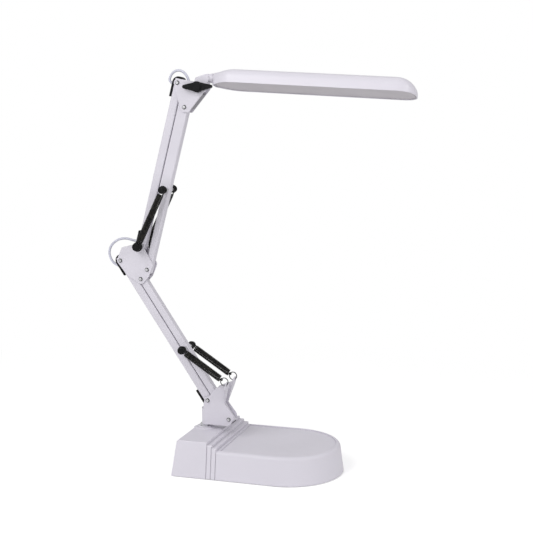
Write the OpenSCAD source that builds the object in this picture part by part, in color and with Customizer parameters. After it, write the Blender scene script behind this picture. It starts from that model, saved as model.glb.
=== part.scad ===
// Folding LED desk lamp: two spring-balanced parallelogram arms on a weighted base.
// +X points from the rear of the base to its round front, +Y away from the viewer, +Z up.
// The origin is where the swivel axis of the arms meets the surface the lamp stands on.

/* [Base] */
// Length of the base behind the swivel axis
base_rear = 21.8; // [20:0.2:26]
// Length of the base in front of the swivel axis
base_front = 205.5; // [170:0.5:250]
// Width of the base at its foot
base_w = 158; // [132:1:190]
// Height of the raised rear block
block_h = 51; // [46:0.5:54]
// Height of the tray's rim
rim_h = 40; // [34:0.5:42]
// Draft of the outer walls, in degrees
draft = 7.5; // [4:0.5:9]
// Wall of the base housing
base_wall = 2.4; // [1.8:0.1:3]
// Place of the first step behind the tray
step_x = 29.8; // [27:0.1:34]
// Going of each of the three steps
step_going = 6.7; // [5:0.1:8]
// Radius of the shallow dish in the tray
dish_r = 44; // [30:1:50]
// Depth of the dish
dish_depth = 1.8; // [1:0.1:2.2]
// Radius of the rounded shoulder round the tray
shoulder_r = 5.5; // [3:0.1:6]
// Thickness of the foam pad under the base
pad_t = 2.5; // [2:0.1:3]

/* [Swivel] */
// Radius of the swivel post
post_r = 5; // [4:0.1:6]
// Height of the foot bracket's lower edge
bracket_z = 57.5; // [56:0.5:60]

/* [Arms] */
// Distance between the two pivots of every bar
link_len = 240; // [190:1:300]
// Lean of the lower arm back from upright, in degrees
lower_lean = 34; // [26:0.5:35]
// Lean of the upper arm forward from upright, in degrees
upper_lean = 14.6; // [13.5:0.1:60]
// Width of the rear bars
rear_bar_w = 12; // [10:0.1:12.4]
// Width of the front bars
front_bar_w = 10; // [8:0.1:10.4]
// Width of the broad half of the upper front bar
broad_bar_w = 16.2; // [12:0.1:16.6]
// Depth of every bar, between the two plates
bar_d = 12.4; // [10:0.1:16]
// Wall of the bars
bar_wall = 1.2; // [0.8:0.1:1.6]
// Thickness of the pivot plates
plate_t = 1.5; // [1.2:0.1:2]
// Radius of the spacer sleeves on which the bars turn
sleeve_r = 3.5; // [3:0.1:3.8]
// Radius of the pivot screws
screw_r = 2; // [1.5:0.1:2.2]

/* [Springs] */
// Outer diameter of the tension springs
spring_od = 10; // [8:0.1:10.6]
// Diameter of the spring wire
wire_d = 1.8; // [1.2:0.1:2]
// Curls of each spring
curls = 22; // [12:1:24]
// Distance of the springs' axes from the middle plane
spring_y = 19.3; // [18.5:0.1:22]

/* [Head] */
// Length of the shade from its collar to its tip
shade_len = 288; // [230:1:330]
// Width of the shade
shade_w = 64; // [52:1:76]
// Height of the shade above its axis
shade_up = 11.6; // [10:0.1:14]
// Depth of the shade below its axis
shade_down = 10; // [9:0.1:12]
// Wall of the shade
shade_wall = 1.6; // [1.2:0.1:2]
// Tilt of the shade below level, in degrees
head_tilt = 3.8; // [-20:0.1:40]
// Roll of the shade about its long axis, in degrees
head_roll = 8.7; // [-30:0.1:30]
// Span of the wing knob
wing_span = 43; // [34:0.5:44]
// Diameter of the cable
cable_d = 3.6; // [3:0.1:3.8]

/* [Hidden] */
$fn = 64;
fit = 0.05;
gap = 0.3;

// ---- places in the arm's plane, as [x, z] ----
function lean_dir(a) = [sin(a), cos(a)];
lower_link = [32, -26];
upper_link = [10, -34];
elbow_step = [32, 22];
head_step = [31, -6.5];
collar_step = [17.5, 12];
foot_rear = [7.6, 93.4];
foot_front = foot_rear + lower_link;
elbow_rear = foot_rear + link_len * lean_dir(-lower_lean);
elbow_front = elbow_rear + lower_link;
knob_pivot = elbow_rear + elbow_step;
upper_foot = knob_pivot + upper_link;
top_rear = knob_pivot + link_len * lean_dir(upper_lean);
top_front = top_rear + upper_link;
head_pivot = top_rear + head_step;
collar_at = head_pivot + collar_step;
lower_pin_at = foot_front + link_len / 2 * lean_dir(-lower_lean);
upper_pin_at = upper_foot + link_len / 2 * lean_dir(upper_lean);

// ---- stack across the arm, from the middle plane outwards ----
bar_y = bar_d / 2;
plate_in = bar_y + 0.5;
plate_out = plate_in + plate_t;
hole_r = screw_r + 0.15;
lug_r = 5.5;

// ---- base ----
pad_inset = 6;
housing_z = 1;
plate_z = pad_t;
base_plate_t = 1.5;
ballast_h = 13;
nose_x = base_front - base_w / 2;
step_drop = (block_h - rim_h) / 3;
top_t = 2.6;
bush_r = 9;
bush_foot = block_h - 9;
bush_top = block_h + 2.8;
washer_t = 1.2;
washer_z = bush_foot - 0.1 - washer_t;

// ---------------------------------------------------------------- helpers

// A flat shape drawn as [x, z] and given a thickness from y0 to y1.
module slab(y0, y1) {
    translate([0, y1, 0])
        rotate([90, 0, 0])
            linear_extrude(y1 - y0) children();
}

// A round rod along Y through the point p of the arm's plane.
module rod_y(p, r, y0, y1) {
    translate([p[0], y1, p[1]])
        rotate([90, 0, 0])
            cylinder(r = r, h = y1 - y0);
}

// The frame of a bar: its foot pivot at the origin and +Z along the bar.
module along_bar(p, lean) {
    translate([p[0], 0, p[1]])
        rotate([0, lean, 0]) children();
}

// The frame of the shade: +X along it, with the roll that it has at rest.
module in_shade() {
    translate([collar_at[0], 0, collar_at[1]])
        rotate([0, head_tilt, 0])
            rotate([-head_roll, 0, 0]) children();
}

// A rectangle with true arcs at its corners.
module round_rect(w, d, r) {
    square([w - 2 * r, d], center = true);
    square([w, d - 2 * r], center = true);
    for (sx = [-1, 1], sy = [-1, 1])
        translate([sx * (w / 2 - r), sy * (d / 2 - r)]) circle(r);
}

// The outline round a set of lugs, each given as [x, z, radius] from the point p.
module lugs(p, lobes) {
    hull()
        for (q = lobes)
            translate(p + [q[0], q[1]]) circle(q[2], $fn = 32);
}

// Draws its children and their mirror image on the lamp's other side.
module both_sides() {
    children();
    mirror([0, 1, 0]) children();
}

// A closed tube of radius r swept along points, its rings kept from twisting.
function unit(v) = v / norm(v);
function tangents(p) = [
    for (i = [0:len(p) - 1])
        unit(p[min(i + 1, len(p) - 1)] - p[max(i - 1, 0)])
];
function square_to(n, t) = unit(n - (n * t) * t);
function normals(t, first) = [
    for (i = 0, n = square_to(first, t[0]); i < len(t);
         i = i + 1, n = i < len(t) ? square_to(n, t[i]) : n) n
];
module swept_tube(p, r, sides, first) {
    t = tangents(p);
    n = normals(t, first);
    rings = len(p);
    points = [
        for (i = [0:rings - 1], k = [0:sides - 1])
            p[i] + r * (cos(360 * k / sides) * n[i] + sin(360 * k / sides) * cross(t[i], n[i]))
    ];
    walls = [
        for (i = [0:rings - 2], k = [0:sides - 1], half = [0, 1])
            let (a = i * sides + k, b = i * sides + (k + 1) % sides)
                half == 0 ? [a, a + sides, b] : [b, a + sides, b + sides]
    ];
    start = [for (k = [1:sides - 2]) [0, k, k + 1]];
    last = (rings - 1) * sides;
    end = [for (k = [1:sides - 2]) [last, last + k + 1, last + k]];
    polyhedron(points, concat(walls, start, end), convexity = 10);
}

// ---------------------------------------------------------------- base

// The base's outline, square at the rear and a half circle at the nose, drawn in by inset.
module base_outline(inset) {
    half = base_w / 2 - inset;
    translate([-base_rear + inset, -half])
        square([nose_x + base_rear - inset, 2 * half]);
    translate([nose_x, 0])
        circle(half, $fn = 128);
}

// The base's outer form with its drafted walls, from z0 up to z1, drawn in by inset.
module drafted_base(inset, z0, z1) {
    in0 = inset + z0 * tan(draft);
    in1 = inset + z1 * tan(draft);
    half0 = base_w / 2 - in0;
    half1 = base_w / 2 - in1;
    intersection() {
        slab(-base_w, base_w)
            polygon([[-base_rear + in0, z0], [nose_x, z0], [nose_x, z1], [-base_rear + in1, z1]]);
        translate([-base_rear, 0, 0])
            rotate([90, 0, 90])
                linear_extrude(base_rear + nose_x)
                    polygon([[-half0, z0], [half0, z0], [half1, z1], [-half1, z1]]);
    }
    translate([nose_x, 0, z0])
        cylinder(r1 = half0, r2 = half1, h = z1 - z0, $fn = 128);
}

// Half of the base's cross-section up to the height z1, as [y, z]: the drafted wall runs up
// into a rounded shoulder of radius r under the flat top.
module half_section(z1, r) {
    at = function (z) base_w / 2 - z * tan(draft);
    low = z1 - r;
    centre = [at(low) - r / cos(draft), low];
    polygon([
        [0, housing_z], [at(housing_z), housing_z],
        centre + r * [cos(draft), sin(draft)], centre + [0, r], [0, z1]
    ]);
    translate(centre) circle(r);
}

// One tier of the base from the place x0 to x1, with its top at z1.
module tier(x0, x1, z1, r) {
    translate([x0, 0, 0])
        rotate([90, 0, 90])
            linear_extrude(x1 - x0) {
                half_section(z1, r);
                mirror([1, 0]) half_section(z1, r);
            }
}

// The base's outer form: the rear block, the steps, and the tray with its round nose.
module base_form() {
    intersection() {
        union() {
            for (k = [0:2])
                tier(k == 0 ? -base_rear : step_x, step_x + k * step_going,
                     block_h - k * step_drop, block_r + k * (shoulder_r - block_r) / 3);
            tier(step_x, nose_x, rim_h, shoulder_r);
        }
        slab(-base_w, base_w)
            polygon([
                [-base_rear + housing_z * tan(draft), housing_z], [base_front, housing_z],
                [base_front, block_h], [-base_rear + block_h * tan(draft) + block_r, block_h],
                [-base_rear + (block_h - block_r) * tan(draft), block_h - block_r]
            ]);
    }
    translate([nose_x, 0, 0])
        rotate_extrude($fn = 128)
            intersection() {
                half_section(rim_h, shoulder_r);
                square([base_w, rim_h]);
            }
}

// The side view of the room under the block, the steps and the tray.
module room_profile(down) {
    polygon(concat(
        [[-base_rear - 1, 0], [-base_rear - 1, block_h - down], [step_x, block_h - down]],
        [for (k = [1:3], end = [0, 1])
            [step_x + (k - 1 + end) * step_going, block_h - down - k * step_drop]],
        [[base_front + 1, rim_h - down], [base_front + 1, 0]]
    ));
}

block_r = 1.4;
tray_depth = 1.6;
rim_flat = 0.7;
groove_w = 1.4;
deck_z = rim_h - tray_depth;
deck_inset = (rim_h - shoulder_r) * tan(draft) + shoulder_r / cos(draft) + rim_flat;
dish_bands = 9;
step_end = step_x + 2 * step_going;

module base_housing() color("lavender") {
    difference() {
        base_form();
        // hollow inside
        intersection() {
            drafted_base(base_wall, -1, block_h - top_t);
            slab(-base_w, base_w) room_profile(top_t + dish_depth);
        }
        // the tray's floor
        intersection() {
            translate([step_end + 4, -base_w, deck_z]) cube([base_front, 2 * base_w, 3]);
            translate([0, 0, deck_z - 1]) linear_extrude(5) base_outline(deck_inset);
        }
        // shallow dish in the tray's floor
        translate([nose_x, 0, deck_z])
            rotate_extrude($fn = 128)
                polygon(concat([[0, 0.5]], [
                    for (k = [0:dish_bands])
                        [dish_r * k / dish_bands, -dish_depth * pow(cos(90 * k / dish_bands), 1.5)]
                ], [[dish_r, 0.5]]));
        // grooves down both sides, in line with the steps
        for (k = [0:2])
            intersection() {
                translate([step_x + k * step_going - groove_w / 2, -base_w, -1])
                    cube([groove_w, 2 * base_w, block_h + 2]);
                difference() {
                    drafted_base(-2, -0.5, block_h + 1);
                    drafted_base(0.8, -0.6, block_h + 2);
                }
            }
        // seat of the swivel bush
        translate([0, 0, block_h - 12]) cylinder(r = bush_r, h = 20);
        // window for the inlet and switch
        translate([-base_rear - 2, panel_y[0], panel_z[0]])
            cube([12, panel_y[1] - panel_y[0], panel_z[1] - panel_z[0]]);
    }
    // low boss round the swivel
    difference() {
        translate([0, 0, block_h - 0.01]) cylinder(r1 = 16, r2 = 12.5, h = 1.6);
        translate([0, 0, block_h - 1]) cylinder(r = bush_r, h = 5);
    }
    // bosses for the screws of the bottom plate
    for (p = screw_places)
        difference() {
            translate([p[0], p[1], plate_z + base_plate_t])
                cylinder(r = 4, h = roof_z(p[0]) - plate_z - base_plate_t);
            translate([p[0], p[1], 0]) cylinder(r = 1.3, h = 16);
        }
}

// Underside of the housing's roof above the place x.
function roof_z(x) = (x < step_x ? block_h : rim_h) - top_t - 1.7;
screw_places = [[-8, 52], [-8, -52], [120, 58], [120, -58]];
panel_y = [10, 54];
panel_z = [14, 32];
panel_x = -base_rear + panel_z[1] * tan(draft) + 0.4;

module base_screws() color("silver")
    for (p = screw_places) translate([p[0], p[1], 0]) {
        translate([0, 0, plate_z - 1.6]) cylinder(r = 3, h = 1.6);
        translate([0, 0, plate_z - 0.1]) cylinder(r = 1.25, h = 11);
    }

module foam_pad() color("dimgray")
    difference() {
        linear_extrude(pad_t) base_outline(pad_inset);
        for (p = screw_places) translate([p[0], p[1], -1]) cylinder(r = 4, h = pad_t + 2);
    }

module bottom_plate() color("gray")
    difference() {
        translate([0, 0, plate_z]) linear_extrude(base_plate_t) base_outline(base_wall + 1);
        for (p = screw_places) translate([p[0], p[1], 0]) cylinder(r = 1.6, h = 9);
    }

module ballast() color("dimgray") {
    low = plate_z + base_plate_t;
    difference() {
        translate([0, 0, low]) linear_extrude(ballast_h) base_outline(14);
        translate([0, 0, low - 1]) cylinder(r = 16, h = ballast_h + 2);
        for (p = screw_places) translate([p[0], p[1], low - 1]) cylinder(r = 5, h = ballast_h + 2);
        translate([-base_rear, panel_y[0] - 3, low + 4])
            cube([24, panel_y[1] - panel_y[0] + 6, ballast_h]);
    }
}

board_z = plate_z + base_plate_t + ballast_h + 3;
board_x = [70, 130];
board_y = [-22, 22];

module driver_spacers() color("ivory")
    for (x = board_x, y = board_y)
        translate([x, y, board_z - 3])
            difference() {
                cylinder(r = 3, h = 3);
                translate([0, 0, -1]) cylinder(r = 1.5, h = 5);
            }

module driver_board() {
    color("seagreen") difference() {
        translate([board_x[0] - 5, board_y[0] - 5, board_z])
            cube([board_x[1] - board_x[0] + 10, board_y[1] - board_y[0] + 10, 1.6]);
        for (x = board_x, y = board_y) translate([x, y, board_z - 1]) cylinder(r = 1.5, h = 4);
    }
    color("black") {
        for (x = [82, 96]) translate([x, 10, board_z + 1.6]) cylinder(r = 4, h = 10);
        translate([105, -12, board_z + 1.6]) cube([14, 14, 8]);
    }
}

panel_mid = (panel_z[0] + panel_z[1]) / 2;
panel_t = 2.4;
inlet_y = panel_y[0] + 9;
inlet_r = 4.5;
jack_r = 2.8;
switch_y = [panel_y[0] + 20, panel_y[0] + 38];
switch_h = 10;
flange_t = 0.8;

module rear_panel() color("dimgray")
    difference() {
        translate([panel_x, panel_y[0] + gap, panel_z[0] + gap])
            cube([panel_t, panel_y[1] - panel_y[0] - 2 * gap, panel_z[1] - panel_z[0] - 2 * gap]);
        translate([panel_x - 1, inlet_y, panel_mid])
            rotate([0, 90, 0]) cylinder(r = inlet_r + 0.1, h = 6);
        translate([panel_x - 1, switch_y[0] - gap, panel_mid - switch_h / 2 - gap])
            cube([6, switch_y[1] - switch_y[0] + 2 * gap, switch_h + 2 * gap]);
    }

module inlet_socket() color("black")
    translate([panel_x - flange_t, inlet_y, panel_mid]) rotate([0, 90, 0])
        difference() {
            union() {
                cylinder(r = inlet_r + 1.1, h = flange_t);
                cylinder(r = inlet_r, h = 11);
            }
            translate([0, 0, -1]) cylinder(r = jack_r, h = 9);
        }

module switch_body() color("black")
    difference() {
        translate([panel_x - flange_t, 0, 0]) {
            translate([0, switch_y[0] - 1.6, panel_mid - switch_h / 2 - 1.6])
                cube([flange_t, switch_y[1] - switch_y[0] + 3.2, switch_h + 3.2]);
            translate([0, switch_y[0], panel_mid - switch_h / 2])
                cube([11, switch_y[1] - switch_y[0], switch_h]);
        }
        translate([panel_x - 2, switch_y[0] + 1.2, panel_mid - switch_h / 2 + 1.2])
            cube([7, switch_y[1] - switch_y[0] - 2.4, switch_h - 2.4]);
    }

// A rocker shaped as a flat V on a round trunnion just behind the frame.
module switch_rocker() color("dimgray") {
    mid = (switch_y[0] + switch_y[1]) / 2;
    half = (switch_y[1] - switch_y[0]) / 2 - 1.7;
    translate([panel_x + 1.4, mid, panel_mid]) {
        linear_extrude(switch_h - 3.4, center = true)
            polygon([[-0.4, -half], [-2.8, -half + 0.6], [-1.4, 0], [-1.0, half - 0.4],
                     [1.2, half - 0.6], [1.2, -half + 0.6]]);
        cylinder(r = 2, h = switch_h - 3, center = true);
    }
}

module swivel_bush() color("white")
    difference() {
        union() {
            translate([0, 0, bush_foot]) cylinder(r = bush_r - fit, h = bush_top - bush_foot);
            translate([0, 0, block_h + 1.6]) cylinder(r = bush_r + 2, h = bush_top - block_h - 1.6);
        }
        translate([0, 0, block_h - 10]) cylinder(r = post_r + fit, h = 20);
    }

// ---------------------------------------------------------------- foot bracket

post_foot = 30;
bend_x = 4.2;
rear_web_top = 81;
// The ears end in wings that are bent outwards and lean forward from their root.
wing_root = [33.8, 90];
wing_lean = 12.5;
wing_h = 35.2;
wing_low = 25;
wing_tip = 23;
// How far the ear and its wing reach into each other at the fold.
fold_lap = 0.4;
ring_mid_r = 5.6;
ring_wire = 0.7;
// The ring passes through a slot in the wing, below and in front of its own centre.
slot_up = 31;
slot_r = 1.3;
slot_h = 2.4;
ring_pull = 60;
slot_at = wing_root + slot_up * lean_dir(wing_lean) - plate_t / 2 * [cos(wing_lean), -sin(wing_lean)];
ring_at = slot_at + ring_mid_r * [-cos(ring_pull), sin(ring_pull)];

module swivel_post() color("silver") {
    difference() {
        union() {
            translate([0, 0, post_foot]) cylinder(r = post_r, h = bracket_z - post_foot);
            translate([0, 0, bush_top + 0.1]) cylinder(r = 6.4, h = bracket_z - bush_top - 0.1);
        }
        translate([0, 0, post_foot - 1]) cylinder(r = post_bore, h = bracket_z - post_foot + 2);
    }
}
// The cable comes up through the hollow post.
post_bore = cable_d / 2 + 0.4;

// Nut and spring washer that hold the post down in its bush.
module swivel_nut() color("silver") {
    translate([0, 0, washer_z]) difference() {
        cylinder(r = 8, h = washer_t);
        translate([0, 0, -1]) cylinder(r = post_r + 0.2, h = 4);
    }
    translate([0, 0, washer_z - 4.5]) difference() {
        cylinder(r = 9, h = 4.4, $fn = 6);
        translate([0, 0, -1]) cylinder(r = post_r + fit, h = 8);
    }
}

// Side plate of the bracket: a broad foot, a waist and an ear up to the spring wings.
module foot_plate_outline() {
    ear_foot = wing_root - [fold_lap, 0];
    ear_top = ear_foot + (wing_h - 5) * lean_dir(wing_lean);
    polygon([
        [bend_x, bracket_z], foot_front + [-1.6, bracket_z - foot_front[1]],
        foot_front + [3.2, -6.4], foot_front + [7.4, 0.8], foot_front + [6.6, 6],
        ear_foot, ear_top, ear_top - [3, 0], foot_rear + [12.4, 19], foot_rear + [3, 7],
        foot_rear + [0, lug_r], [bend_x - 2, foot_rear[1] + 4], foot_rear - [lug_r, 0],
        [bend_x - 4, rear_web_top], [bend_x, rear_web_top]
    ]);
    translate(foot_rear) circle(lug_r);
}

// Wing bent outwards from the ear, drawn as [y, height], with a slot for the spring's ring.
module wing_outline() {
    difference() {
        polygon([
            [-plate_in - fold_lap, 0], [-plate_in - fold_lap, wing_h - 4],
            [-plate_out - 7.8, wing_h], [3 - wing_tip, wing_h], [-wing_tip, wing_h - 3],
            [-wing_tip, wing_low]
        ]);
        translate([-spring_y, slot_up])
            for (s = [-1, 1]) {
                translate([0, s * slot_h / 2]) circle(slot_r);
                square([2 * slot_r, slot_h], center = true);
            }
    }
}

module foot_bracket() color("lavender")
    difference() {
        union() {
            both_sides() {
                slab(-plate_out, -plate_in) foot_plate_outline();
                translate([wing_root[0], 0, wing_root[1]])
                    rotate([0, wing_lean, 0])
                        translate([-plate_t, 0, 0])
                            rotate([90, 0, 90]) linear_extrude(plate_t) wing_outline();
            }
            // half-round rear web
            translate([bend_x, 0, bracket_z])
                difference() {
                    cylinder(r = plate_out, h = rear_web_top - bracket_z);
                    translate([0, 0, -1]) cylinder(r = plate_in, h = rear_web_top - bracket_z + 2);
                    translate([0, -20, -1]) cube([40, 40, 60]);
                }
            // floor over the swivel post
            translate([bend_x, 0, bracket_z]) {
                cylinder(r = plate_out - 0.2, h = plate_t + 0.1);
                translate([0, -plate_in - 0.1, 0]) cube([22, 2 * plate_in + 0.2, plate_t + 0.1]);
            }
        }
        for (p = [foot_rear, foot_front]) rod_y(p, hole_r, -30, 30);
        translate([0, 0, bracket_z - 1]) cylinder(r = post_bore, h = 5);
    }

module spring_rings() color("silver")
    both_sides()
        translate([ring_at[0], -spring_y, ring_at[1]])
            rotate([90, 0, 0])
                rotate_extrude($fn = 48)
                    translate([ring_mid_r, 0]) circle(ring_wire, $fn = 24);

// ---------------------------------------------------------------- pivots

// Spacer sleeves that keep two plates apart and carry the bars.
module sleeves(points) color("silver")
    for (p = points)
        difference() {
            rod_y(p, sleeve_r, -plate_in, plate_in);
            rod_y(p, hole_r, -plate_in - 1, plate_in + 1);
        }

// Pan-head screws whose heads are on the near side, with their nuts on the far side.
head_h = 2.2;
nut_h = 3.2;
module pivot_screws(points) color("silver")
    for (p = points) {
        translate([p[0], -plate_out, p[1]]) rotate([90, 0, 0]) {
            rotate_extrude()
                intersection() {
                    translate([0, -0.6]) circle(1.7 * screw_r);
                    square([9, head_h]);
                }
            translate([0, 0, -2 * plate_out - nut_h - 0.8])
                cylinder(r = screw_r, h = 2 * plate_out + nut_h + 0.9);
        }
        translate([p[0], plate_out + nut_h, p[1]]) rotate([90, 0, 0])
            difference() {
                cylinder(r = 1.95 * screw_r, h = nut_h, $fn = 6);
                translate([0, 0, -1]) cylinder(r = screw_r + fit, h = nut_h + 2);
            }
    }

module foot_sleeves() sleeves([foot_rear, foot_front]);
module foot_screws() pivot_screws([foot_rear, foot_front]);
module elbow_sleeves() {
    sleeves([elbow_rear, elbow_front, upper_foot]);
    color("silver") difference() {
        rod_y(knob_pivot, sleeve_r + 0.8, -plate_in, plate_in);
        rod_y(knob_pivot, pin_r + fit, -plate_in - 1, plate_in + 1);
    }
}
module elbow_screws() pivot_screws([elbow_rear, elbow_front, upper_foot]);
module head_sleeves() sleeves([top_rear, top_front]);
module head_screws() pivot_screws([top_rear, top_front]);

// ---------------------------------------------------------------- bars

pin_r = 3;
front_end = 6.4;
rear_end = 6;
cap_r = 9;
strip_len = 21;
outlet_z = 2.8;
plug_fit = 0.3;
outlet_r = cable_d / 2 + 0.4;

// A bar's tube in its own frame, its ends past the pivots rounded by end_r.
end_r = 2.5;
module bar_tube(w, end) {
    intersection() {
        translate([0, 0, -end])
            linear_extrude(link_len + 2 * end)
                round_rect(w, bar_d, 2);
        slab(-bar_d, bar_d)
            translate([0, link_len / 2])
                round_rect(w + 0.02, link_len + 2 * end + 0.02, end_r);
    }
}

module bar_hollow(w, end) {
    translate([0, 0, -end - 1])
        linear_extrude(link_len + 2 * end + 2)
            round_rect(w - 2 * bar_wall, bar_d - 2 * bar_wall, 1);
}

module bar_bores(r_foot, r_top) {
    rod_y([0, 0], r_foot + fit, -20, 20);
    rod_y([0, link_len], r_top + fit, -20, 20);
}

// Cable outlet through the back of a rear bar at height z.
module outlet(z) {
    translate([-rear_bar_w, 0, z])
        rotate([0, 90, 0]) cylinder(r = outlet_r, h = rear_bar_w);
}

module rear_bar(r_foot, outlets) color("lavender")
    difference() {
        translate([0, 0, -rear_end])
            linear_extrude(link_len + 2 * rear_end)
                round_rect(rear_bar_w, bar_d, 2);
        bar_hollow(rear_bar_w, rear_end);
        bar_bores(r_foot, sleeve_r);
        for (z = outlets) outlet(z);
    }

// The part of a cap or plug that goes into a bar's end, between the walls at x0 and x1.
module plug(x0, x1, end)
    slab(-bar_y + bar_wall + plug_fit, bar_y - bar_wall - plug_fit)
        translate([x0 + bar_wall + plug_fit, -end - 0.1])
            square([x1 - x0 - 2 * (bar_wall + plug_fit), 1.3]);

// Black cap on a rear bar's end: it closes the tube, and its back strip leads the cable out.
module rear_cap(drilled) {
    half = rear_bar_w / 2;
    difference() {
        slab(-bar_y + 0.2, bar_y - 0.2) {
            difference() {
                intersection() {
                    circle(cap_r);
                    translate([-cap_r, -cap_r]) square([cap_r + half - 0.6, 2 * cap_r]);
                }
                translate([-half, -rear_end]) square([30, 60]);
            }
            translate([-cap_r, 0]) square([cap_r - half, strip_len]);
        }
        if (drilled) outlet(outlet_z);
    }
    plug(-half, half, rear_end);
}

module at_top() {
    translate([0, 0, link_len]) mirror([0, 0, 1]) children();
}

module rear_caps(foot_drilled) color("black") {
    rear_cap(foot_drilled);
    at_top() rear_cap(true);
}

// Black plug in each end of a front bar.
module front_plug() {
    w = front_bar_w - 2 * end_r + 0.8;
    slab(-bar_y + 0.4, bar_y - 0.4)
        translate([-w / 2, -front_end - 1]) square([w, 1]);
    plug(-front_bar_w / 2, front_bar_w / 2, front_end);
}

module front_plugs() color("black") {
    front_plug();
    at_top() front_plug();
}

module lower_rear_bar()
    along_bar(foot_rear, -lower_lean) rear_bar(sleeve_r, [outlet_z, link_len - outlet_z]);
module lower_rear_caps() along_bar(foot_rear, -lower_lean) rear_caps(true);
module upper_rear_bar()
    along_bar(knob_pivot, upper_lean)
        rear_bar(sleeve_r + 0.8, [outlet_z + 1.2, link_len - outlet_z]);
module upper_rear_caps()
    along_bar(knob_pivot, upper_lean) color("black") {
        difference() {
            rear_cap(false);
            outlet(outlet_z + 1.2);
        }
        at_top() rear_cap(true);
    }

module lower_front_bar() color("lavender")
    along_bar(foot_front, -lower_lean)
        difference() {
            bar_tube(front_bar_w, front_end);
            bar_hollow(front_bar_w, front_end);
            bar_bores(sleeve_r, sleeve_r);
            rod_y([0, link_len / 2], pin_core_r + fit, -20, 20);
        }
module lower_front_plugs() along_bar(foot_front, -lower_lean) front_plugs();

// The upper front bar is broad from its top down to the spring pin, and narrow below it,
// where the springs pass.
broad_from = link_len / 2 - 8;
module upper_front_bar() color("lavender")
    along_bar(upper_foot, upper_lean) {
        extra = broad_bar_w - front_bar_w;
        difference() {
            union() {
                bar_tube(front_bar_w, front_end);
                translate([-extra / 2, 0, broad_from])
                    linear_extrude(link_len + front_end - broad_from)
                        round_rect(broad_bar_w, bar_d, 2);
            }
            bar_hollow(front_bar_w, front_end);
            translate([-extra / 2, 0, broad_from + bar_wall])
                linear_extrude(link_len + 20 - broad_from)
                    round_rect(broad_bar_w - 2 * bar_wall, bar_d - 2 * bar_wall, 1);
            bar_bores(sleeve_r, sleeve_r);
            rod_y([0, link_len / 2], pin_core_r + fit, -20, 20);
        }
    }
module upper_front_plugs() color("black")
    along_bar(upper_foot, upper_lean) {
        extra = broad_bar_w - front_bar_w;
        front_plug();
        at_top() {
            slab(-bar_y + 0.4, bar_y - 0.4)
                polygon([
                    [front_bar_w / 2 - 0.3, -front_end], [front_bar_w / 2 - 1.4, -front_end - 1],
                    [-front_bar_w / 2 - extra + 1.4, -front_end - 1],
                    [-front_bar_w / 2 - extra + 0.3, -front_end]
                ]);
            plug(-front_bar_w / 2 - extra, front_bar_w / 2, front_end);
        }
    }

// ---------------------------------------------------------------- spring pins and caps

pin_core_r = 2.5;
cap_in = spring_y - 5.5;
waist = 0.7;
cap_out = spring_y + 5.5;

// Pin through a front bar, with a shoulder on each side of the bar.
module spring_pin(p) color("silver") {
    rod_y(p, pin_core_r, -cap_out + 1.5, cap_out - 1.5);
    for (s = [-1, 1])
        rod_y(p, 3.8, s < 0 ? -cap_in + 0.2 : bar_y + fit, s < 0 ? -bar_y - fit : cap_in - 0.2);
}

// Black barrel on a pin's end: a round rim, a waist for the spring's hook and a domed face.
module barrel(p, r, inner) {
    translate([p[0], -cap_in, p[1]]) rotate([90, 0, 0])
        difference() {
            rotate_extrude() {
                polygon([
                    [0, 0], [r - 0.6, 0], [r, 0.6], [r, 2.4], [r - waist, 3.2], [r - waist, 7.8],
                    [r, 8.6], [r, 9.8], [r - 0.5, 10.7], [r - 1.6, 11.4], [0, 11.9]
                ]);
            }
            translate([0, 0, -1]) cylinder(r = inner + fit, h = 1 + cap_out - 1.5 - cap_in + fit);
        }
}

module lower_spring_pin() spring_pin(lower_pin_at);
module upper_spring_pin() spring_pin(upper_pin_at);
module lower_pin_caps() color("black") both_sides() barrel(lower_pin_at, pin_cap_r, pin_core_r);
module upper_pin_caps() color("black") both_sides() barrel(upper_pin_at, pin_cap_r, pin_core_r);
module elbow_pin() color("silver") {
    rod_y(knob_pivot, pin_r, -cap_out + 1.5, cap_out - 1.5);
    for (s = [-1, 1])
        rod_y(knob_pivot, 4.4, s < 0 ? -cap_in + 0.2 : plate_out, s < 0 ? -plate_out : cap_in - 0.2);
}
module elbow_pin_caps() color("black") both_sides() barrel(knob_pivot, knob_cap_r, pin_r);
pin_cap_r = 5.2;
knob_cap_r = 6.2;

// ---------------------------------------------------------------- springs

// Middle line of a spring between two points of the arm's plane: it leaves the first cap
// square and straight, opens into the coil, winds, and closes to a straight end again.
rings_per_curl = 8;
coil_r = (spring_od - wire_d) / 2;
function spring_line(from, to, start, stop, side) =
    let (
        run = to - from,
        a = unit([run[0], 0, run[1]]),
        e1 = [0, 1, 0],
        e2 = cross(a, e1),
        o = [from[0], side * spring_y, from[1]],
        steps = curls * rings_per_curl,
        z0 = start + wire_d,
        z1 = stop - wire_d,
        pitch = (z1 - z0) / (curls + 1)
    )
    concat(
        [o + a * start, o + a * (start + 0.6 * wire_d)],
        [for (i = [0:steps])
            let (
                grow = min(1, i / 4, (steps - i) / 4),
                s = z0 + pitch / 2 + (z1 - z0 - pitch) * i / steps,
                phi = 360 * i / rings_per_curl
            )
            if (grow > 0) o + a * s + coil_r * grow * (cos(phi) * e1 + sin(phi) * e2)],
        [o + a * (stop - 0.6 * wire_d), o + a * stop]
    );

// Least clear distance between one curl of a spring and the next.
function least_gap(p) = min([
    for (i = [0:len(p) - 7], k = [6:10])
        if (i + k < len(p)) norm(p[i] - p[i + k]) - wire_d
]);

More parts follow.
